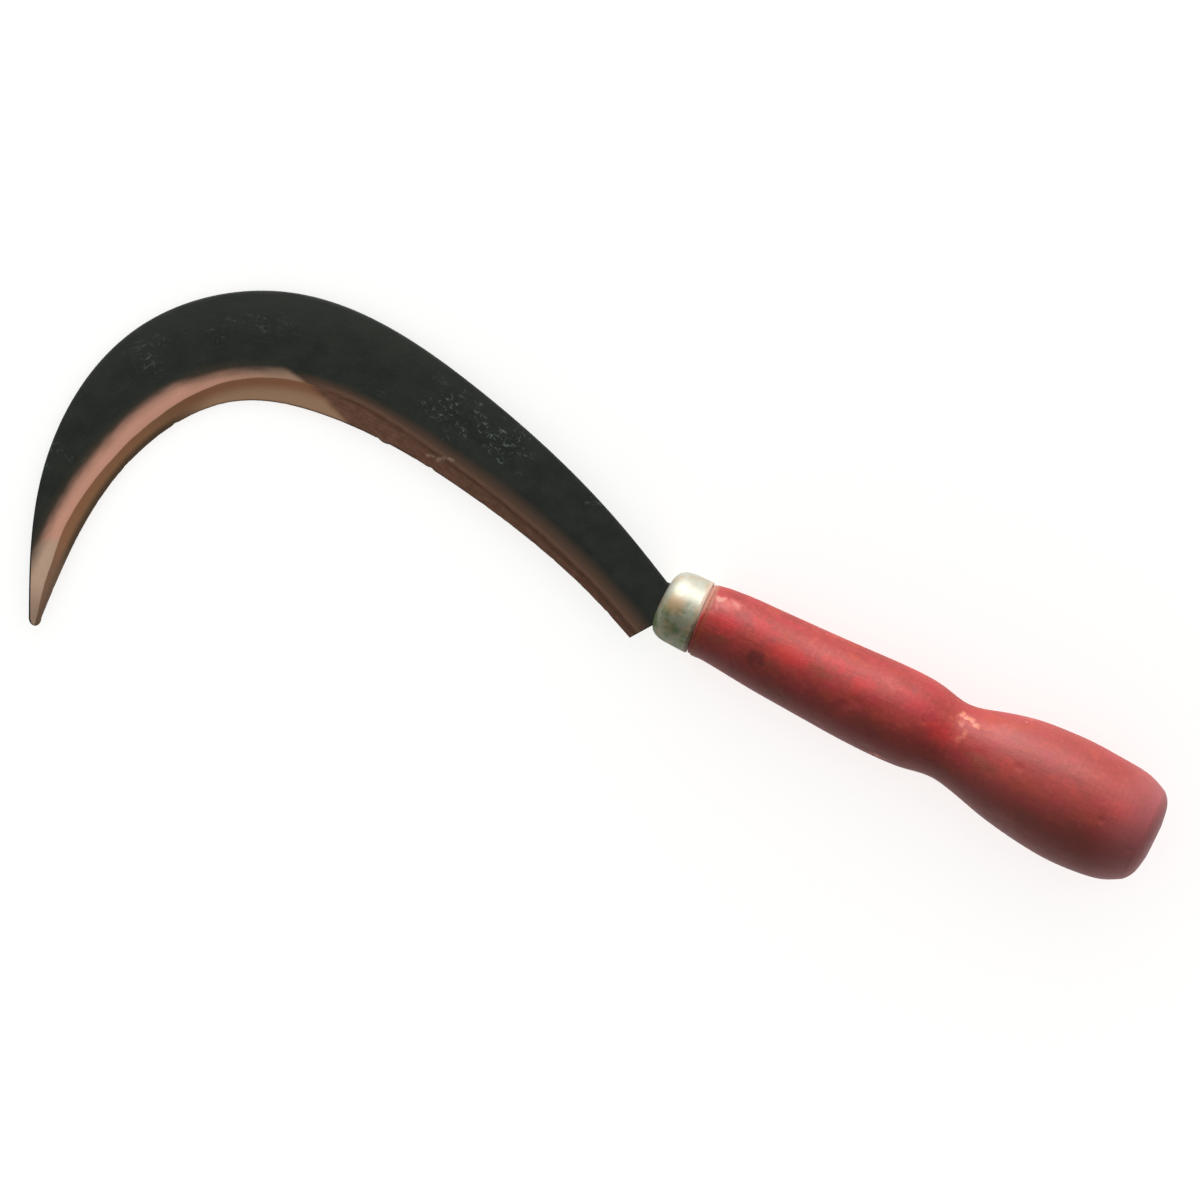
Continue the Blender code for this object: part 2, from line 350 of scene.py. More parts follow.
def blade_pairs():
    """The (edge, back) plan points of each section, from the shoulder to the nose."""
    edges = smooth_curve(EDGE_KNOTS, BLADE_SECTIONS)
    backs = smooth_curve(BACK_KNOTS, BLADE_SECTIONS)
    root_edge = np.array((SHOULDER_X, ROOT_SIDES[0]))
    root_back = np.array((SHOULDER_X, ROOT_SIDES[1]))
    pairs = []
    for share in np.arange(HEEL_SECTIONS) / HEEL_SECTIONS:
        pairs.append((root_edge + (edges[0] - root_edge) * share, root_back + (backs[0] - root_back) * share))
    pairs += list(zip(edges, backs))
    middle = (edges[-1] + backs[-1]) / 2
    half = (backs[-1] - edges[-1]) / 2
    onward = unit(np.array((-half[1], half[0])))
    for angle in np.linspace(0, NOSE_TURN, NOSE_SECTIONS + 1)[1:]:
        centre = middle + onward * TIP_LENGTH * math.sin(angle)
        pairs.append((centre - half * math.cos(angle), centre + half * math.cos(angle)))
    return pairs


def crossing(u, excess, fallback):
    """Where a rising list of values first passes zero."""
    above = np.nonzero(excess > 0)[0]
    if len(above) == 0 or above[0] == 0:
        return fallback
    i = above[0]
    return u[i - 1] - (u[i] - u[i - 1]) * excess[i - 1] / (excess[i] - excess[i - 1])


def top_fractions(edge_line, edge, back):
    """Plan fractions from edge to back, with columns on the crease and on the band's top."""
    u = np.linspace(0, 1, SECTION_SAMPLES)
    station, away = edge_line.measure(edge + (back - edge) * u[:, None])
    crease = through(station, CREASE_AT)
    last = 1 - min(SPINE_ROUND / np.linalg.norm(back - edge), SPINE_MOST)
    on_crease = min(crossing(u, away - crease, CREASE_FALLBACK), last * CREASE_MOST)
    on_band = min(crossing(u, away - band_top(crease), BAND_FALLBACK),
                  on_crease + (last - on_crease) * BAND_MOST)
    return np.concatenate((np.linspace(0, on_crease, BEVEL_COLUMNS + 1),
                           np.linspace(on_crease, on_band, BAND_COLUMNS + 1)[1:],
                           np.linspace(on_band, last, FACE_COLUMNS + 1)[1:]))


def blade_ring(edge_line, edge, back):
    """One closed section: plan points, heights above the underside, stations, distances and sides."""
    across = back - edge
    width = np.linalg.norm(across)
    fractions = top_fractions(edge_line, edge, back)
    plan_top = edge + across * fractions[:, None]
    height_top = top_height(*edge_line.measure(plan_top))
    round_radius = width * (1 - fractions[-1])
    turn = np.linspace(0, math.pi / 2, SPINE_STEPS + 1)
    reach = width - round_radius + round_radius * np.concatenate((np.sin(turn[1:]), np.cos(turn)))
    height_spine = np.concatenate((height_top[-1] - round_radius * (1 - np.cos(turn[1:])),
                                   round_radius * (1 - np.sin(turn))))
    plan_spine = edge + across / width * reach[:, None]
    under = fractions[-1] * np.linspace(1, 0, UNDER_COLUMNS + 1)[1:]**UNDER_CROWDING
    plan = np.vstack((plan_top, plan_spine, edge + across * under[:, None]))
    station, away = edge_line.measure(plan)
    height = np.concatenate((height_top, height_spine, under_height(away[-UNDER_COLUMNS:])))
    side = np.concatenate((np.ones(len(plan_top)), np.full(len(plan_spine), 0.5), np.zeros(UNDER_COLUMNS)))
    return plan, height, station, away, side


def tang_rings(first):
    """The tang behind the shoulder, as rings with as many points as the blade's own."""
    root_centre = sum(ROOT_SIDES) / 2
    root_half = (ROOT_SIDES[1] - ROOT_SIDES[0]) / 2
    tang_centre = sum(TANG_SIDES) / 2
    tang_half = (TANG_SIDES[1] - TANG_SIDES[0]) / 2
    rings = []
    behind = 0.1            # the first ring stands this far behind the shoulder
    squaring = 1.4          # lifts the bevelled section's low points onto the tang's flat faces
    for share in (1.0, 0.5, 0.0):
        half = tang_half + (TANG_END_HALF_WIDTH - tang_half) * share
        tall = ROOT_THICK + (TANG_END_THICK - ROOT_THICK) * share
        ring = first.copy()
        ring[:, 0] = SHOULDER_X + behind + (TANG_LENGTH - behind) * share
        ring[:, 1] = tang_centre + (first[:, 1] - root_centre) / root_half * half
        flat = np.minimum(np.abs(first[:, 2]) * squaring, ROOT_THICK / 2)
        ring[:, 2] = np.sign(first[:, 2]) * flat * tall / ROOT_THICK
        rings.append(ring)
    return rings


def forge_marks(points, station, away, side):
    """Soft unevenness: hammered black faces, and faint waves along the ground bands."""
    plan = points * (1, 1, 0)
    hammered = 0.05 * wander(plan, 9.0, 1) + 0.03 * wander(plan, 3.6, 2)
    waves = 0.018 * wander(np.stack((station, away / 2.4, 0 * away), axis=1), 5.0, 3)
    forged = blend01(away, 9.0, 12.0)
    lift = forged * hammered + (1 - forged) * waves
    points[:, 2] += np.where(side == 1, lift, 0) + np.where(side == 0, 0.5 * np.abs(lift), 0)


# What the hidden tang stores: station, distance from the edge and side.
TANG_VALUES = (-20.0, 12.0, 0.5)


def build_blade(tool):
    edge_line = EdgeLine()
    pairs = blade_pairs()
    station, _ = edge_line.measure(np.array([edge for edge, back in pairs]))
    rings = []
    for (edge, back), worn in zip(pairs, edge_wear(station)):
        edge = edge + unit(back - edge) * worn
        rings.append(blade_ring(edge_line, edge, back))
    plan = np.vstack([ring[0] for ring in rings])
    height, station, away, side = [np.concatenate([ring[k] for ring in rings]) for k in (1, 2, 3, 4)]
    points = np.column_stack((plan, height - ROOT_THICK / 2))
    forge_marks(points, station, away, side)
    size = len(rings[0][1])
    tang = tang_rings(points[:size])
    points = np.vstack(tang + [points])
    pad = size * len(tang)
    station, away, side = [np.concatenate((np.full(pad, hidden), seen))
                           for hidden, seen in zip(TANG_VALUES, (station, away, side))]
    values = {"station": station, "away": away, "side": side,
              "from_crease": away - through(station, CREASE_AT)}
    return mesh_object("sickle_blade", points, ring_faces(len(rings) + len(tang), size), values, tool)


# ---- turned pieces
def rounded_shoulder(front_x, radius, count):
    length, drop = SHOULDER_ROUND
    return [(front_x + length * (1 - math.cos(a)), radius - drop * (1 - math.sin(a)))
            for a in np.linspace(0, math.pi / 2, count)]


def turned_points(profile, sides):
    """Rings about the X axis through the (x, radius) points of a profile."""
    profile = np.array(profile, float)
    angle = 2 * math.pi * np.arange(sides) / sides
    x = np.repeat(profile[:, 0], sides)
    y = np.outer(profile[:, 1], np.cos(angle)).ravel()
    z = np.outer(profile[:, 1], np.sin(angle)).ravel()
    return np.stack((x, y, z), axis=1)


def around(points):
    """Radius and angle of each point about the X axis; the angle runs from +Y up to +Z."""
    return np.hypot(points[:, 1], points[:, 2]), np.arctan2(points[:, 2], points[:, 1])


def spot(points, x, angle_deg, half_length, half_arc, strength=1.0):
    """A soft ellipse on a turned surface: its strength in the middle, fading to 0 just outside it."""
    radius, angle = around(points)
    turn = (angle - math.radians(angle_deg) + math.pi) % (2 * math.pi) - math.pi
    gap = np.hypot((points[:, 0] - x) / half_length, turn * radius / half_arc)
    return strength * np.clip(1.3 - gap, 0, 1)


def spots(points, places):
    total = np.zeros(len(points))
    for place in places:
        total = np.maximum(total, spot(points, *place))
    return total


def push_out(points, amount):
    """Move each point of a turned surface away from the axis."""
    radius = np.maximum(around(points)[0], 0.1)
    points[:, 1] *= 1 + amount / radius
    points[:, 2] *= 1 + amount / radius


def tool_places(obj, tool):
    """Store each point's place in the tool frame, for the materials."""
    inverse = tool.inverted()
    places = np.array([inverse @ vert.co for vert in obj.data.vertices]) / MM
    store(obj.data, {"tool_x": places[:, 0], "tool_y": places[:, 1], "tool_z": places[:, 2]})


def bar_end(x, low, high, half):
    """The four corners of a bar's end at x, from y = low to high and z = -half to half."""
    return [(x, low, -half), (x, high, -half), (x, high, half), (x, low, half)]


def finish_turned(obj, bar, sharp_deg, tool):
    """Cut the blade's way through a turned piece, and keep corners above sharp_deg hard."""
    face_outwards(obj)
    cut_out(obj, bar, tool)
    tool_places(obj, tool)
    obj.data.shade_smooth()
    obj.data.set_sharp_from_angle(angle=math.radians(sharp_deg))
    return obj


FERRULE_SIDES = 180
FERRULE_RINGS = 60
RIM_RINGS = 7
INSIDE_RINGS = 12
FERRULE_DENTS = 18
HOLE_START = 0.4            # the profile starts and ends this far from the axis, in the slot


def ferrule_profile():
    """From the front, over the outside and the rounded rim, then back along the inside."""
    outside = [tuple(p) for p in smooth_curve(FERRULE_OUTSIDE, FERRULE_RINGS)][1:]
    rear = []
    for a in np.linspace(0, math.pi / 2, RIM_RINGS):
        rear.append((FERRULE_LENGTH - FERRULE_RIM_ROUND * (1 - math.sin(a)),
                     FERRULE_OUTSIDE[-1][1] - FERRULE_RIM_ROUND * (1 - math.cos(a))))
    bevel = 0.15
    rear += [(FERRULE_LENGTH, FERRULE_BORE + bevel), (FERRULE_LENGTH - bevel, FERRULE_BORE)]
    inside = [(10.0, FERRULE_BORE), (7.5, FERRULE_BORE)]
    inside += rounded_shoulder(FERRULE_FRONT_WALL, FERRULE_BORE, INSIDE_RINGS)[::-1]
    inside += [(FERRULE_FRONT_WALL, 3.0), (FERRULE_FRONT_WALL, HOLE_START)]
    return [(FERRULE_OUTSIDE[0][0], HOLE_START)] + outside + rear + inside


# The cap was driven on a little askew: how far its rim and the wood behind it slant, per mm across.
RIM_SLANT = 0.062
SLANT_STARTS = (8.0, 12.4)
SLANT_ENDS = (21.0, 15.0)


def slant_rim(points):
    """Lean the cap's rim and the collar behind it towards the blade on the back's side."""
    across = points[:, 1] + FERRULE_OUTSIDE[-1][1]
    here = blend01(points[:, 0], *SLANT_STARTS) * blend01(points[:, 0], *SLANT_ENDS)
    points[:, 0] -= RIM_SLANT * across * here


def build_ferrule(tool):
    profile = ferrule_profile()
    points = turned_points(profile, FERRULE_SIDES)
    rng = np.random.default_rng(5)
    dents = 0.035 * wander(points, 4.0, 4)
    for _ in range(FERRULE_DENTS):
        place = (rng.uniform(2, 12), rng.uniform(0, 360), rng.uniform(0.5, 1.8), rng.uniform(0.5, 1.8))
        dents -= rng.uniform(0.03, 0.12) * spot(points, *place)**2
    push_out(points, dents * blend01(around(points)[0], 1.0, 4.0))
    values = {"from_rim": points[:, 0] - FERRULE_LENGTH}
    slant_rim(points)
    obj = mesh_object("ferrule_cap", points, ring_faces(len(profile), FERRULE_SIDES), values, tool)
    beyond = 2.0            # the slot's bar sticks out this far on both sides of the front wall
    slot = [bar_end(x, ROOT_SIDES[0] - GAP, ROOT_SIDES[1] + GAP, ROOT_THICK / 2 + GAP)
            for x in (-beyond, FERRULE_FRONT_WALL + beyond)]
    return finish_turned(obj, slot, 35, tool)


# The grip isn't quite straight: how far its middle wanders towards +Y along its length.
AXIS_DRIFT = ((13.0, 0.0), (18.0, 0.35), (34.0, 0.15), (60.0, -0.1), (84.0, 0.15), (92.0, 0.0),
              (100.0, 0.2), (110.0, 0.2), (122.0, -0.06), (134.0, -0.3), (146.0, 0.0), (153.5, 0.3))

# The small bead and groove at the collar: distance behind its front, and radius.
COLLAR_BEAD = ((0.0, 9.9), (0.06, 10.08), (0.2, 10.22), (0.4, 10.27), (0.6, 10.22), (0.75, 10.12),
               (0.88, 10.24))
# The butt's flat middle and the lathe centre's dimple: depth and radius.
BUTT_MIDDLE = ((0.0, 4.6), (0.0, 3.0), (0.0, 1.6), (0.05, 1.2), (0.5, 0.8), (1.0, 0.25))

# Marks in the paint: x, angle from +Y up to +Z in degrees, half length, half arc and strength.
BARE_SPOTS = ((90.2, 47, 1.3, 1.4, 0.75), (92.6, 52, 2.0, 1.2, 0.85), (94.9, 58, 1.6, 1.0, 0.8),
              (91.0, 63, 1.4, 1.5, 0.5), (92.8, 73, 1.1, 1.7, 0.42), (92.6, 84, 1.0, 1.5, 0.38))
# Most pale spots lie along the upper side at 50 to 74 degrees: paler paint with a painted highlight laid on
# it.
PALE_AND_HIGHLIGHT_SPOTS = ((16.7, 50, 1.3, 1.8, 1.35), (16.2, 64, 1.3, 2.2, 0.9), (20.2, 51, 2.3, 2.1, 1.0),
              (18.4, 56, 2.6, 2.3, 0.8), (92.4, 50, 3.4, 2.6, 0.5), (103.0, 58, 8.0, 4.5, 0.45),
              (16.0, 74, 1.1, 1.8, 0.5), (127.0, 60, 8.0, 4.0, 0.35),
              (47.0, 60, 8.0, 3.4, 0.35), (70.0, 60, 7.0, 3.0, 0.35))
BRIGHT_SPOTS = ((62.0, 77, 4.2, 2.8, 1.0), (40.0, 84, 8.0, 4.2, 0.9), (142.5, 78, 5.0, 4.2, 0.8),
                (124.0, 82, 7.0, 3.4, 0.5), (19.5, 84, 5.5, 3.4, 0.9), (87.0, 88, 6.0, 4.0, 0.8),
                (108.0, 92, 7.0, 3.2, 0.5), (76.0, 66, 6.0, 3.0, 0.8), (53.0, 68, 6.0, 2.6, 0.8),
                (30.0, 66, 7.0, 3.4, 0.8))
BROWN_SPOTS = ((20.0, 114, 3.6, 2.2, 1.0), (50.0, 88, 6.0, 1.6, 0.8), (101.0, 100, 6.0, 1.8, 1.0),
               (118.0, 126, 6.0, 2.2, 0.8), (66.0, 118, 7.0, 2.4, 0.7), (134.0, 116, 8.0, 3.2, 0.6),
               (36.0, 112, 5.0, 2.0, 0.7), (12.0, 120, 4.0, 3.0, 0.6))
STAIN = (31.6, 112, 3.2, 3.1)
HANDLE_SIDES = 200
HANDLE_DENTS = 46
GRIP_RINGS = 400
BUTT_RINGS = 40
SPIGOT_RINGS = 8
MARKED_LENGTH = (18, 150)   # where the scattered marks and dents fall, along x
RIDGE_PITCH = 1.9
RIDGE_HEIGHT = 0.012
PAINT_THICK = 0.11


def handle_profile():
    """From the spigot's end inside the cap, over the collar and the grip, to the middle of the butt."""
    face_x = SHOULDER_X + GAP
    spigot_radius = FERRULE_BORE - GAP
    profile = [(face_x, 0.3), (face_x, 3.0)] + rounded_shoulder(face_x, spigot_radius, SPIGOT_RINGS)
    profile += [(9.0, spigot_radius), (COLLAR_X, spigot_radius)]
    profile += [(COLLAR_X + behind, radius) for behind, radius in COLLAR_BEAD]
    profile += [tuple(p) for p in smooth_curve(GRIP_KNOTS, GRIP_RINGS)]
    profile += [tuple(p) for p in smooth_curve(BUTT_KNOTS, BUTT_RINGS)[1:]]
    profile += [(BUTT_X - depth, radius) for depth, radius in BUTT_MIDDLE]
    return profile


def random_spots(rng, count, size, weakest):
    """Marks scattered over the handle's sides and underside."""
    places = []
    for _ in range(count):
        half = size * rng.uniform(0.4, 1.3)
        places.append((rng.uniform(*MARKED_LENGTH), rng.uniform(140, 390), half * rng.uniform(1.0, 2.2), half,
                       rng.uniform(weakest, 0.8)))
    return tuple(places)


def paint_marks(points):
    """How bare, pale, bright or brown the paint is at each point, on all sides of the handle."""
    rng = np.random.default_rng(21)
    torn, fine = [np.stack([wander(points, size, seed + i) for i in range(3)], axis=1)
                  for size, seed in ((2.6, 12), (0.9, 15))]
    soft = points + 1.6 * torn
    ragged = points + 0.7 * torn + 0.7 * fine
    angle = around(points)[1]
    upper = blend01(np.cos(angle - math.radians(36)), 0.5, 0.95)
    from_collar = points[:, 0] - COLLAR_X
    collar = blend01(from_collar + 0.4 * fine[:, 0], 1.0, 0.75) * (0.12 + 0.8 * upper)
    bare = spots(ragged, BARE_SPOTS + random_spots(rng, 9, 1.1, 0.5))
    paler_middle = 0.7 * spot(ragged, STAIN[0] + 0.7, STAIN[1] + 4, 1.2, 1.2)
    return {"bare": np.maximum(bare, collar),
            "from_collar": from_collar,
            "pale": spots(soft, PALE_AND_HIGHLIGHT_SPOTS + random_spots(rng, 18, 3.2, 0.2)),
            "bright": spots(soft, BRIGHT_SPOTS + random_spots(rng, 20, 3.6, 0.2)),
            "brown": spots(soft, BROWN_SPOTS + random_spots(rng, 18, 3.0, 0.3)),
            "stain": spot(ragged, *STAIN) - paler_middle}


def handle_relief(points):
    """Hand-turned unevenness, lathe ridges and dents, as a move away from the axis."""
    rng = np.random.default_rng(8)
    move = 0.14 * wander(points * (0.5, 1, 1), 13.0, 5) + 0.04 * wander(points * (0.33, 1, 1), 3.0, 6)
    ridges = np.sin(points[:, 0] * 2 * math.pi / RIDGE_PITCH)
    ridges *= 0.5 + 0.5 * wander(points * (0.5, 1, 1), 9.0, 7)
    move += RIDGE_HEIGHT * ridges
    for _ in range(HANDLE_DENTS):
        half = rng.uniform(0.7, 2.4)
        place = (rng.uniform(*MARKED_LENGTH), rng.uniform(0, 360), 1.3 * half, half)
        move -= rng.uniform(0.05, 0.25) * spot(points, *place)**2
    return move


def tang_hole():
    """The two ends of the tapered bar that leaves the tang's hole in the handle."""
    middle = sum(TANG_SIDES) / 2
    near = np.array(((TANG_SIDES[1] - TANG_SIDES[0]) / 2, ROOT_THICK / 2)) + GAP
    far = np.array((TANG_END_HALF_WIDTH, TANG_END_THICK / 2)) + GAP
    far_x = SHOULDER_X + TANG_LENGTH + 2.0
    before = 3.0            # the bar starts this far in front of the shoulder
    mouth = near + (near - far) * before / (far_x - SHOULDER_X)
    return [bar_end(x, middle - half, middle + half, tall)
            for x, (half, tall) in ((SHOULDER_X - before, mouth), (far_x, far))]


def build_handle(tool):
    profile = handle_profile()
    points = turned_points(profile, HANDLE_SIDES)
    values = paint_marks(points)
    x = points[:, 0]
    grip = blend01(around(points)[0], 5.0, 9.0) * blend01(x, COLLAR_X + 0.9, COLLAR_X + 4.0)
    painted = blend01(x, COLLAR_X + 0.1, COLLAR_X + 0.3)
    paint_gone = PAINT_THICK * painted * blend01(values["bare"], 0.35, 0.6)
    drift = through(x, AXIS_DRIFT) * grip
    push_out(points, grip * (handle_relief(points) - paint_gone))
    points[:, 1] += drift
    slant_rim(points)
    obj = mesh_object("turned_handle", points, ring_faces(len(profile), HANDLE_SIDES), values, tool)
    return finish_turned(obj, tang_hole(), 40, tool)


# ==== materials
def srgb(red, green, blue):
    """Linear colour from display values of 0 to 255."""
    shown = np.array((red, green, blue), float) / 255
    linear = np.where(shown > 0.04, ((shown + 0.055) / 1.055)**2.4, shown / 12.92)
    return (*linear.tolist(), 1.0)


class Shader:
    """A material's node tree, with short helpers for building it."""

    def __init__(self, name):
        self.material = bpy.data.materials.new(name)
        self.material.use_nodes = True
        self.tree = self.material.node_tree
        self.surface = self.tree.nodes["Principled BSDF"]

    def node(self, kind, inputs=(), **settings):
        """A new node; inputs pairs each socket's name or number with what feeds it."""
        node = self.tree.nodes.new(kind)
        for key, value in settings.items():
            setattr(node, key, value)
        for key, value in inputs:
            self.feed(node.inputs[key], value)
        return node

    def feed(self, socket, value):
        if isinstance(value, bpy.types.NodeSocket):
            self.tree.links.new(value, socket)
        else:
            socket.default_value = value

    def stored(self, name):
        """A value stored on the mesh."""
        return self.node("ShaderNodeAttribute", attribute_name=name).outputs["Fac"]

    def tool_place(self):
        """The place in the tool frame: x, y and z in millimetres, and the three as one vector."""
        x, y, z = [self.stored(name) for name in ("tool_x", "tool_y", "tool_z")]
        return x, y, z, self.vector(x, y, z)

    def math(self, operation, *terms):
        """The terms joined by one operation, from the first to the last."""
        total = terms[0]
        for term in terms[1:]:
            total = self.node("ShaderNodeMath", ((0, total), (1, term)), operation=operation).outputs[0]
        return total

    def add(self, *terms):
        return self.math("ADD", *terms)

    def times(self, *factors):
        return self.math("MULTIPLY", *factors)

    def larger(self, a, b):
        return self.math("MAXIMUM", a, b)

    def step(self, value, low, high):
        """0 at low, 1 at high, smooth between; low may be above high."""
        inputs = (("Value", value), ("From Min", low), ("From Max", high))
        return self.node("ShaderNodeMapRange", inputs, interpolation_type="SMOOTHSTEP").outputs["Result"]

    def between(self, value, start, rise, fall, end):
        """1 between rise and fall, 0 outside start and end."""
        return self.times(self.step(value, start, rise), self.step(value, end, fall))

    def vector(self, x, y, z=0.0):
        return self.node("ShaderNodeCombineXYZ", enumerate((x, y, z))).outputs[0]

    def scaled(self, vector, scale):
        return self.node("ShaderNodeVectorMath", ((0, vector), (1, scale)), operation="MULTIPLY").outputs[0]

    def turned(self, vector, degrees):
        inputs = (("Vector", vector), ("Angle", math.radians(degrees)))
        return self.node("ShaderNodeVectorRotate", inputs, rotation_type="Z_AXIS").outputs[0]

    def noise(self, vector, scale, detail=3.0, rough=0.5, distortion=0.0):
        inputs = (("Vector", vector), ("Scale", scale), ("Detail", detail), ("Roughness", rough),
                  ("Distortion", distortion))
        return self.node("ShaderNodeTexNoise", inputs).outputs["Fac"]

    def mix(self, factor, a, b):
        return self.node("ShaderNodeMix", ((0, factor), (6, a), (7, b)), data_type="RGBA").outputs[2]

    def mix_value(self, factor, a, b):
        return self.node("ShaderNodeMix", ((0, factor), (2, a), (3, b)), data_type="FLOAT").outputs[0]

    def layer(self, colour, mask, strength, over):
        """Lay a colour over another where a mask says, at most at the given strength."""
        return self.mix(self.times(mask, strength), colour, over)

    def layers(self, colour, rows):
        """Lay on several colours; each row is value, low, high, strength and colour."""
        for value, low, high, strength, over in rows:
            colour = self.layer(colour, self.step(value, low, high), strength, over)
        return colour

    def bump(self, height, strength, distance):
        inputs = (("Strength", strength), ("Distance", distance), ("Height", height))
        return self.node("ShaderNodeBump", inputs).outputs[0]

    def finish(self, colour, roughness, metallic, specular, normal=None):
        self.feed(self.surface.inputs["Base Color"], colour)
        self.feed(self.surface.inputs["Roughness"], roughness)
        self.feed(self.surface.inputs["Metallic"], metallic)
        if normal is not None:
            self.feed(self.surface.inputs["Normal"], normal)
        self.surface.inputs["Specular IOR Level"].default_value = specular
        return self.material


def scale_colour(s, flow, away):
    """Black forge scale: mottled, faintly streaked along the blade, a little paler at the spine."""
    mottled = s.noise(flow, 0.16, 5, 0.6)
    streaks = s.noise(s.scaled(flow, (0.12, 3.0, 1)), 1.0, 4, 0.65)
    flakes = s.noise(flow, 0.75, 5, 0.7)
    colour = s.mix(s.step(mottled, 0.3, 0.7), srgb(17, 22, 17), srgb(27, 30, 25))
    return s.layers(colour, [
        (streaks, 0.5, 0.8, 0.4, srgb(42, 43, 38)),
        (flakes, 0.56, 0.7, 0.35, srgb(44, 43, 39)),
        (away, 17.0, 30.0, 0.4, srgb(44, 46, 42))])


# The scuffs' families: direction in degrees, a shift that sets them apart, and the scale of their noise.
SCUFFS = ((8, 0.0, (0.33, 0.85, 1)), (-31, 40.0, (0.45, 1.5, 1)), (74, 90.0, (0.5, 2.0, 1)))


def scratches(s, flow, station, away):
    """Short pale scuffs in a few directions, thick where the blade has been rubbed."""
    total = 0.0
    for degrees, offset, size in SCUFFS:
        turned = s.turned(s.vector(s.add(station, offset), away), degrees)
        line = s.noise(s.scaled(turned, size), 1.0, 2, 0.5)
        total = s.larger(total, s.step(line, 0.6, 0.72))
    rubbed = s.times(s.between(station, 48.0, 58.0, 78.0, 90.0), s.between(away, 10.5, 14.0, 21.0, 26.0))
    clustered = s.step(s.noise(flow, 0.25, 2), 0.4, 0.6)
    here_and_there = s.step(s.noise(flow, 0.07, 2), 0.58, 0.72)
    return s.times(total, s.larger(s.times(rubbed, clustered), s.times(here_and_there, 0.45)))


# A few longer scratches across the bevel: station, distance from the edge, direction in degrees, length
# and width.
STROKES = ((72.6, 3.9, 40, 3.4, 0.8), (75.6, 3.0, 22, 3.0, 0.6), (70.2, 5.2, 8, 2.4, 0.6))


def strokes(s, station, away, fine):
    """The longer scratches, each a broken ragged line."""
    total = 0.0
    for place, distance, degrees, length, width in STROKES:
        moved = s.vector(s.add(station, -place), s.add(away, -distance))
        turned = s.node("ShaderNodeSeparateXYZ", [(0, s.turned(moved, degrees))])
        along = s.math("ABSOLUTE", turned.outputs[0], 0.0)
        across = s.math("ABSOLUTE", s.add(turned.outputs[1], s.times(fine, 2.4), -1.2), 0.0)
        line = s.times(s.step(along, length / 2, length / 4), s.step(across, width, 0.0))
        total = s.larger(total, line)
    return s.times(total, s.step(fine, 0.36, 0.56))


def tinted_face(s, scale, station, away, from_crease):
    """Forge scale with brown heat tints: beside the bow's ground band, then above the straight's crease."""
    tinted = s.times(s.step(away, 12.5, 8.0), s.step(station, 120.0, 134.0))
    face = s.layer(scale, tinted, 0.6, srgb(60, 47, 35))
    reach = s.add(3.3, s.times(s.step(station, 98.0, 78.0), 1.1), s.times(s.step(station, 78.0, 45.0), 1.1))
    fade = s.step(from_crease, reach, 0.0)
    return s.mix(s.times(fade, s.step(station, 124.0, 112.0)), face, srgb(76, 56, 44))


def bow_band_colour(s, flow, station, away, wobble):
    """The polished band round the bow, and the pale tip, both brightened partly by a painted reflection:
    colour and mask.
    """
    patches = s.noise(s.scaled(flow, (0.25, 0.7, 1)), 0.5, 3)
    colour = s.mix(patches, srgb(204, 152, 131), srgb(190, 140, 120))
    colour = s.layer(colour, s.step(station, 140.0, 118.0), 0.75, srgb(164, 137, 114))
    tip = s.step(s.add(station, s.times(wobble, 4.0), s.times(away, -0.5)), 193.0, 197.0)
    pale = s.mix(patches, srgb(188, 162, 140), srgb(172, 142, 120))
    colour = s.mix(tip, colour, s.layer(pale, s.step(station, 208.0, 219.0), 0.6, srgb(112, 88, 76)))
    narrower = s.add(s.times(s.step(station, 150.0, 170.0), 0.6),
                     s.between(station, 116.0, 130.0, 138.0, 147.0))
    fade = s.step(s.add(away, narrower, s.times(wobble, 1.6)), 10.9, 6.0)
    start = s.step(s.add(station, s.times(away, -1.6), 11.2, s.times(wobble, 2.0)), 113.5, 117.0)
    return colour, s.times(fade, start)


def bevel_colour(s, flow, station, away, from_crease, wobble):
    """The ground bevel: dark brown near the handle, tan round the bow, partly oxide and polish and partly a
    painted reflection.
    """
    patches = s.noise(s.scaled(flow, (0.35, 1.2, 1)), 1.0, 4)
    heel = s.mix(s.step(patches, 0.3, 0.7), srgb(86, 58, 45), srgb(103, 72, 57))
    heel = s.layer(heel, s.step(s.noise(flow, 0.45, 3), 0.48, 0.7), 0.2, srgb(60, 40, 31))
    bow = s.mix(s.step(station, 136.0, 152.0), srgb(161, 127, 101), srgb(120, 93, 68))
    towards_crease = s.step(from_crease, -4.5, -1.0)
    bow = s.layer(bow, s.times(towards_crease, s.step(station, 156.0, 142.0)), 0.75, srgb(128, 80, 53))
    bow = s.layer(bow, s.times(towards_crease, s.step(station, 144.0, 160.0)), 0.7, srgb(148, 100, 71))
    bow = s.layer(bow, s.step(away, 2.3, 0.5), s.step(station, 140.0, 155.0), srgb(76, 60, 44))
    bow = s.layer(bow, s.step(station, 195.0, 206.0), 0.6, srgb(120, 96, 80))
    start = s.add(station, s.times(away, -1.9), s.times(wobble, 4.0))
    here = s.step(start, 98.0, 103.5)
    return s.mix(here, heel, bow), here


def crease_lines(s, colour, from_crease, station, fine):
    """A painted highlight on the crease and a dark line below it, along the straight of the blade."""
    near_handle = s.step(station, 116.0, 104.0)
    crease_highlight = s.times(s.between(from_crease, -0.3, 0.0, 0.5, 1.0), near_handle)
    colour = s.layer(colour, crease_highlight, s.mix_value(fine, 0.0, 0.5), srgb(110, 84, 66))
    dark_line = s.times(s.between(from_crease, -1.6, -0.9, -0.5, -0.2), near_handle)
    return s.layer(colour, dark_line, 0.4, srgb(60, 39, 27))


def underside_colour(s, scale, away, wobble):
    """Scale down to a narrow honed strip, for the underside and the spine."""
    honed = s.step(s.add(away, wobble), 2.4, 1.8)
    return s.layer(scale, honed, honed, srgb(112, 90, 74))


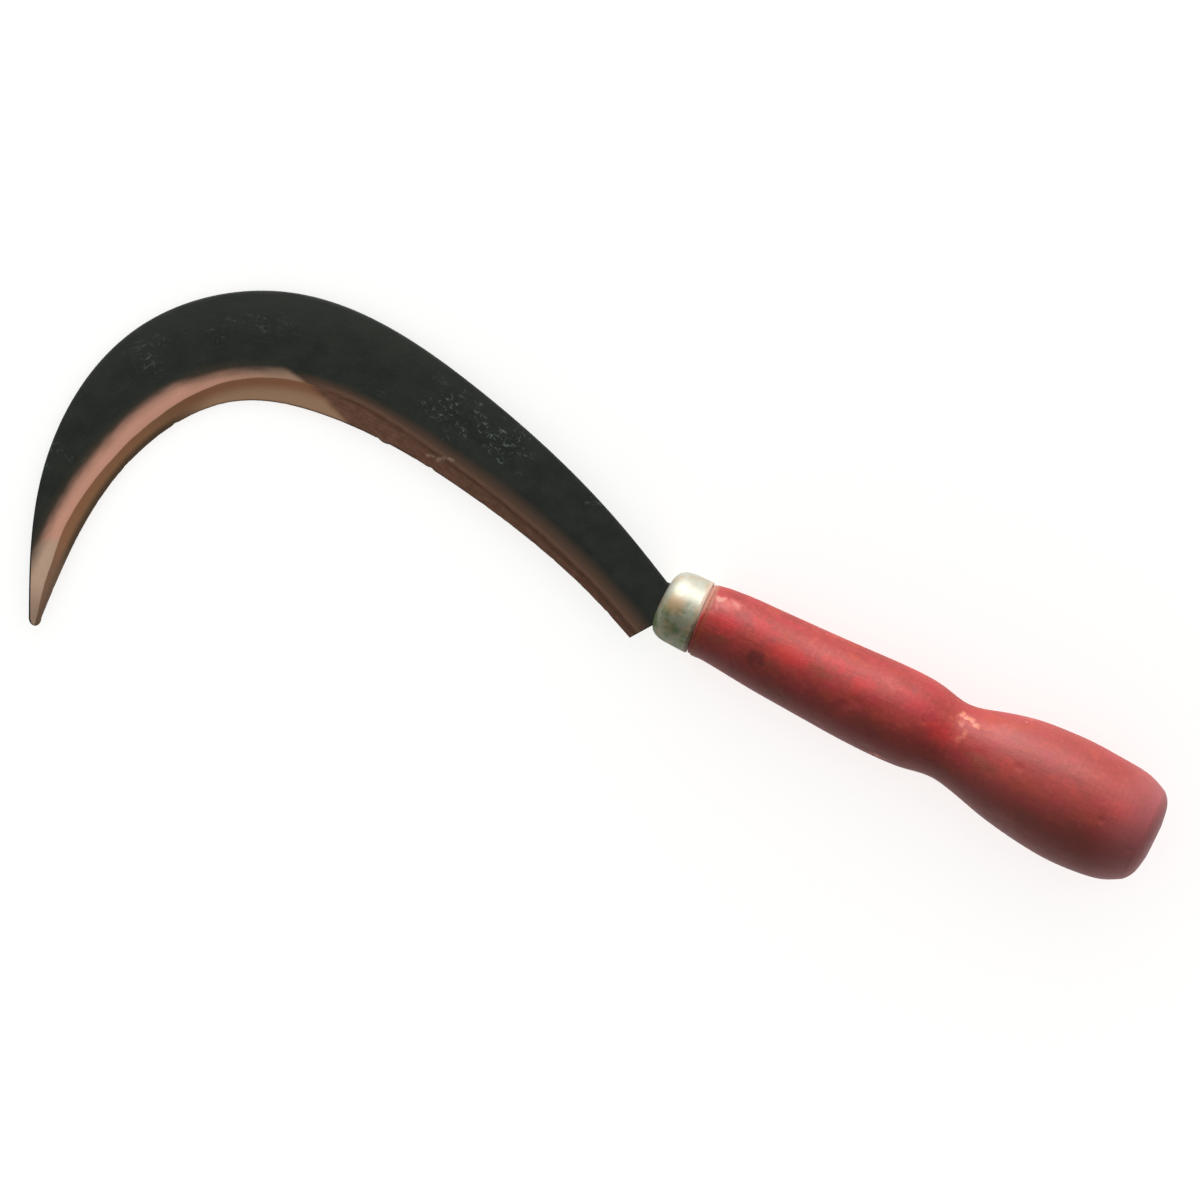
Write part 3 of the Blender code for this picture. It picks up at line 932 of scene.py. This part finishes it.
def edge_marks(s, colour, station, away, fine):
    """The longer scratches, a little rust towards the edge, and the bright line of the edge itself."""
    colour = s.layer(colour, strokes(s, station, away, fine), 0.6, srgb(160, 138, 120))
    rust = s.times(s.step(fine, 0.6, 0.72), s.step(away, 11.0, 2.0))
    colour = s.layer(colour, rust, 0.2, srgb(60, 37, 25))
    return s.layer(colour, s.step(away, 0.45, 0.1), 0.5, srgb(112, 92, 78))


def blade_relief(s, flow, away, fine, grind):
    """Pitted scale on the black faces, and grinding lines across the bands."""
    forged = s.add(s.times(fine, 0.6), s.times(s.noise(flow, 0.6, 4, 0.6), 1.2))
    ground = s.add(s.times(grind, 0.9), s.times(fine, 0.2))
    return s.bump(s.mix_value(s.step(away, 9.5, 8.0), forged, ground), 0.35, 0.00012)


def blade_material():
    s = Shader("forged_blade")
    station = s.stored("station")
    away = s.stored("away")
    from_crease = s.stored("from_crease")
    flow = s.vector(station, away)
    wobble = s.add(s.noise(s.scaled(flow, (0.18, 0.5, 1)), 1.0, 3), -0.5)
    fine = s.noise(flow, 1.6, 5, 0.6)
    grind = s.noise(s.scaled(flow, (4.5, 0.22, 1)), 1.0, 3, 0.6)

    scuffs = scratches(s, flow, station, away)
    scale = s.layer(scale_colour(s, flow, away), scuffs, 0.65, srgb(94, 105, 99))
    band, band_mask = bow_band_colour(s, flow, station, away, wobble)
    face = s.mix(band_mask, tinted_face(s, scale, station, away, from_crease), band)
    bevel, bow_mask = bevel_colour(s, flow, station, away, from_crease, wobble)
    ground_lines = s.step(grind, 0.48, 0.75)
    bevel = s.layer(bevel, ground_lines, s.mix_value(bow_mask, 0.08, 0.2), srgb(150, 120, 98))
    bevel_mask = s.step(s.add(from_crease, s.times(wobble, 0.5)), 0.1, -0.1)
    top = crease_lines(s, s.mix(bevel_mask, face, bevel), from_crease, station, fine)
    on_top = s.step(s.stored("side"), 0.75, 0.9)
    colour = s.mix(on_top, underside_colour(s, scale, away, wobble), top)
    colour = edge_marks(s, colour, station, away, fine)

    bright = s.larger(band_mask, s.times(bevel_mask, bow_mask))
    roughness = s.mix_value(bright, s.mix_value(fine, 0.5, 0.72), s.mix_value(grind, 0.36, 0.52))
    roughness = s.mix_value(scuffs, roughness, 0.4)
    normal = blade_relief(s, flow, away, fine, grind)
    return s.finish(colour, roughness, s.times(bright, 0.4), 0.16, normal)


def plating_colour(s, x, y, z, place, small):
    """Satin plating, with painted shade and green tarnish on the side of the edge, and warm stains and
    specks.
    """
    cloud = s.noise(place, 0.32, 4, 0.55)
    colour = s.mix(cloud, srgb(176, 176, 166), srgb(158, 156, 138))
    # Painted shade and highlight colour: darker and olive towards −Y, greyer towards +Y.
    colour = s.layers(colour, [
        (y, 5.0, -5.0, 0.65, srgb(106, 107, 76)),
        (y, 3.0, 7.0, 0.35, srgb(146, 142, 132))])
    green = s.step(s.noise(place, 0.24, 4, 0.6, 0.4), 0.44, 0.6)
    # Green tarnish, laid only towards −Y, where it also serves as painted shade.
    colour = s.layer(colour, s.times(green, s.step(y, 3.0, -4.0)), 0.7, srgb(76, 98, 56))
    elsewhere = s.vector(s.add(x, 40.0), y, z)
    warm = s.times(s.step(s.noise(elsewhere, 0.3, 3), 0.5, 0.64), 0.6)
    near_front = s.times(s.between(x, 1.5, 3.5, 6.0, 8.5), s.between(y, -3.5, -1.0, 1.2, 3.4))
    colour = s.layer(colour, s.larger(warm, near_front), 0.6, srgb(168, 132, 92))
    return s.layer(colour, s.step(small, 0.58, 0.72), 0.4, srgb(86, 80, 62))


def rim_colour(s, colour, y, small):
    """Paint dragged over the rim when the handle was coloured, and a painted shadow beside it: colour and
    mask.
    """
    from_rim = s.add(s.stored("from_rim"), s.times(small, 1.2), -0.6)
    # The dragged paint reaches further and is pale on the upper side and dark on the lower: paint with a
    # painted highlight and shade.
    further = s.times(s.step(y, -1.0, 4.0), 0.75)
    painted = s.step(s.add(from_rim, further), -0.5, -0.15)
    lit_and_shaded_paint = s.mix(s.step(y, -3.0, 1.5), srgb(90, 54, 38), srgb(170, 143, 127))
    colour = s.layer(colour, painted, 0.85, lit_and_shaded_paint)
    # Painted shadow in the gap before the rim, on the lower side only.
    rim_shadow = s.times(s.between(from_rim, -1.1, -0.75, -0.5, -0.2), s.step(y, 0.5, -4.0))
    return s.layer(colour, rim_shadow, 0.7, srgb(92, 64, 48)), painted


def ferrule_material():
    s = Shader("plated_ferrule")
    x, y, z, place = s.tool_place()
    small = s.noise(place, 1.7, 4, 0.6)
    spun = s.noise(s.scaled(place, (9.0, 0.35, 0.35)), 1.0, 3, 0.6)
    colour, painted = rim_colour(s, plating_colour(s, x, y, z, place, small), y, small)
    colour = s.layer(colour, s.step(x, 1.4, 0.6), 0.5, srgb(92, 86, 70))
    metallic = s.mix_value(painted, 0.4, 0.0)
    roughness = s.mix_value(small, 0.42, 0.56)
    normal = s.bump(s.add(s.times(spun, 0.6), s.times(small, 0.4), s.times(painted, 0.5)), 0.3, 0.0001)
    return s.finish(colour, roughness, metallic, 0.3, normal)


def fresh_paint(s, place, blotch, grain):
    """Red paint that drifts between orange and crimson, with the grain showing through."""
    cloud = s.noise(s.scaled(place, (0.6, 1.0, 1.0)), 0.13, 5, 0.65)
    hue = s.noise(s.scaled(place, (0.7, 1.0, 1.0)), 0.17, 3, 0.5)
    paint = s.mix(s.step(cloud, 0.3, 0.7), srgb(130, 39, 36), srgb(148, 49, 45))
    return s.layers(paint, [
        (hue, 0.52, 0.66, 0.5, srgb(152, 54, 34)),
        (hue, 0.46, 0.32, 0.5, srgb(152, 36, 50)),
        (blotch, 0.5, 0.7, 0.3, srgb(162, 62, 52)),
        (grain, 0.52, 0.75, 0.25, srgb(100, 28, 25))])


# The marks stored on the mesh, in the order that they are laid on: name, how ragged the mark is, where it
# starts and where it is full, its strength and its colour.
PAINT_MARKS = (("bright", 1.0, 0.1, 1.0, 0.6, srgb(172, 34, 36)),
               # The pale rows are paler paint and also a painted highlight on the upper side.
               ("pale", 1.0, 0.1, 1.1, 0.6, srgb(190, 98, 90)),
               ("pale", 0.4, 0.85, 1.2, 0.6, srgb(168, 126, 112)),
               ("brown", 1.0, 0.1, 1.0, 0.5, srgb(106, 56, 32)),
               ("stain", 0.5, 0.2, 0.7, 0.6, srgb(72, 24, 22)))


def marked_paint(s, paint, ragged):
    """Lay the stored marks over the paint, each with a ragged outline."""
    for name, raggedness, low, high, strength, colour in PAINT_MARKS:
        mark = s.add(s.stored(name), s.times(ragged, raggedness))
        paint = s.layer(paint, s.step(mark, low, high), strength, colour)
    return paint


def weathered_and_shaded_paint(s, paint, x, y, place, from_collar):
    """Dirt and rubbed specks, then what changes along the handle, a painted shade towards −Y across it, and
    the ring beside the collar.
    """
    dirt = s.noise(s.scaled(place, (0.7, 1.0, 1.0)), 0.9, 5, 0.65)
    paint = s.layers(paint, [
        (dirt, 0.56, 0.68, 0.3, srgb(92, 34, 28)),
        (dirt, 0.44, 0.34, 0.2, srgb(190, 78, 64)),
        (x, 94.0, 104.0, 0.25, srgb(138, 70, 64)),
        # Painted shade: the paint is darkened and browned towards −Y.
        (y, 3.0, -12.0, 0.55, srgb(84, 42, 35)),
        (x, 136.0, 151.0, 0.75, srgb(150, 82, 84))])
    beside = s.mix(s.step(y, 0.0, 5.0), srgb(120, 54, 30), srgb(138, 88, 70))
    return s.layer(paint, s.between(from_collar, 0.6, 0.9, 1.4, 2.1), 0.7, beside)


def bare_wood(s, blotch, from_collar):
    """Peach and golden wood, greyer at the collar."""
    wood = s.mix(s.step(blotch, 0.46, 0.62), srgb(194, 132, 114), srgb(178, 110, 76))
    return s.layer(wood, s.step(from_collar, 1.3, 0.9), 0.9, srgb(152, 115, 101))


def handle_material():
    s = Shader("worn_red_paint")
    x, y, _, place = s.tool_place()
    from_collar = s.stored("from_collar")
    grain = s.noise(s.scaled(place, (0.06, 1.1, 1.1)), 1.0, 5, 0.6, 0.6)
    blotch = s.noise(place, 0.42, 4, 0.6)
    fine = s.noise(place, 2.2, 4, 0.6)
    ragged = s.times(s.add(blotch, -0.5), 1.2)
    paint = marked_paint(s, fresh_paint(s, place, blotch, grain), ragged)
    paint = weathered_and_shaded_paint(s, paint, x, y, place, from_collar)

    # The paint is rubbed thin, with a pinkish halo, before it is rubbed through to the wood.
    bareness = s.stored("bare")
    rubbed = s.step(s.add(bareness, s.times(ragged, 0.4)), 0.05, 0.55)
    paint = s.layer(paint, rubbed, 0.48, srgb(176, 84, 70))
    worn = s.step(s.add(bareness, s.times(s.add(fine, -0.5), 0.7)), 0.22, 0.8)
    wood = bare_wood(s, blotch, from_collar)
    colour = s.layer(paint, worn, 0.75, wood)
    inside_cap = s.step(from_collar, -0.1, -0.2)
    colour = s.mix(inside_cap, colour, wood)
    roughness = s.mix_value(worn, s.mix_value(blotch, 0.44, 0.62), 0.7)
    height = s.add(s.times(grain, 0.6), s.times(fine, 0.4), s.times(worn, -0.5))
    return s.finish(colour, roughness, 0.0, 0.3, s.bump(height, 0.45, 0.00022))


def dress(obj, material, node):
    """Give a piece its material, hang it under the root body and hide the CAD node it stands for."""
    obj.data.materials.clear()
    obj.data.materials.append(material)
    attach(obj, "root")
    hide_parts(node)


# ==== studio
def build_floor():
    half = 12.0
    corners = [(-half, -half, 0), (half, -half, 0), (half, half, 0), (-half, half, 0)]
    mesh = bpy.data.meshes.new("studio_floor")
    mesh.from_pydata(corners, [], [(0, 1, 2, 3)])
    floor = scene_object("studio_floor", mesh)
    mesh.materials.append(Shader("pale_floor").finish((0.9, 0.9, 0.9, 1.0), 0.9, 0.0, 0.1))


def build_lights(up):
    """A broad key from the picture's top, low over the floor, and a soft room round it."""
    world = bpy.data.worlds.new("soft_room")
    world.use_nodes = True
    sky = world.node_tree.nodes["Background"].inputs
    sky["Color"].default_value = (0.98, 0.99, 1.0, 1.0)
    sky["Strength"].default_value = SKY_STRENGTH
    bpy.context.scene.world = world
    key = bpy.data.lights.new("soft_key", "SUN")
    key.energy = KEY_STRENGTH
    key.angle = math.radians(KEY_SPREAD_DEG)
    key.color = (1.0, 0.995, 0.98)
    key.use_shadow = False
    key_object = scene_object("soft_key", key)
    tilt = math.radians(KEY_ELEVATION_DEG)
    towards = up * math.cos(tilt) + Vector((0, 0, math.sin(tilt)))
    key_object.rotation_euler = (-towards).to_track_quat("-Z", "Y").to_euler()


def build_camera(centre, roll):
    camera = bpy.data.cameras.new("camera")
    camera.sensor_width = 36.0
    camera.lens = camera.sensor_width * CAMERA_DISTANCE / FRAME_WIDTH
    camera.clip_end = 50.0
    camera_object = scene_object("camera", camera)
    camera_object.location = (centre.x, centre.y, centre.z + CAMERA_DISTANCE)
    camera_object.rotation_euler = (0.0, 0.0, roll)
    bpy.context.scene.camera = camera_object
    bpy.context.scene.view_settings.view_transform = "Standard"


def build_studio(tool):
    roll = math.radians(VIEW_ROLL_DEG)
    build_floor()
    build_lights(Vector((-math.sin(roll), math.cos(roll), 0.0)))
    build_camera(tool @ (Vector(VIEW_CENTRE) * MM), roll)


def main():
    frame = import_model()
    tool = tool_matrix(frame["record"])
    dress(build_blade(tool), blade_material(), "blade")
    dress(build_ferrule(tool), ferrule_material(), "ferrule")
    dress(build_handle(tool), handle_material(), "handle")
    build_studio(tool)


main()
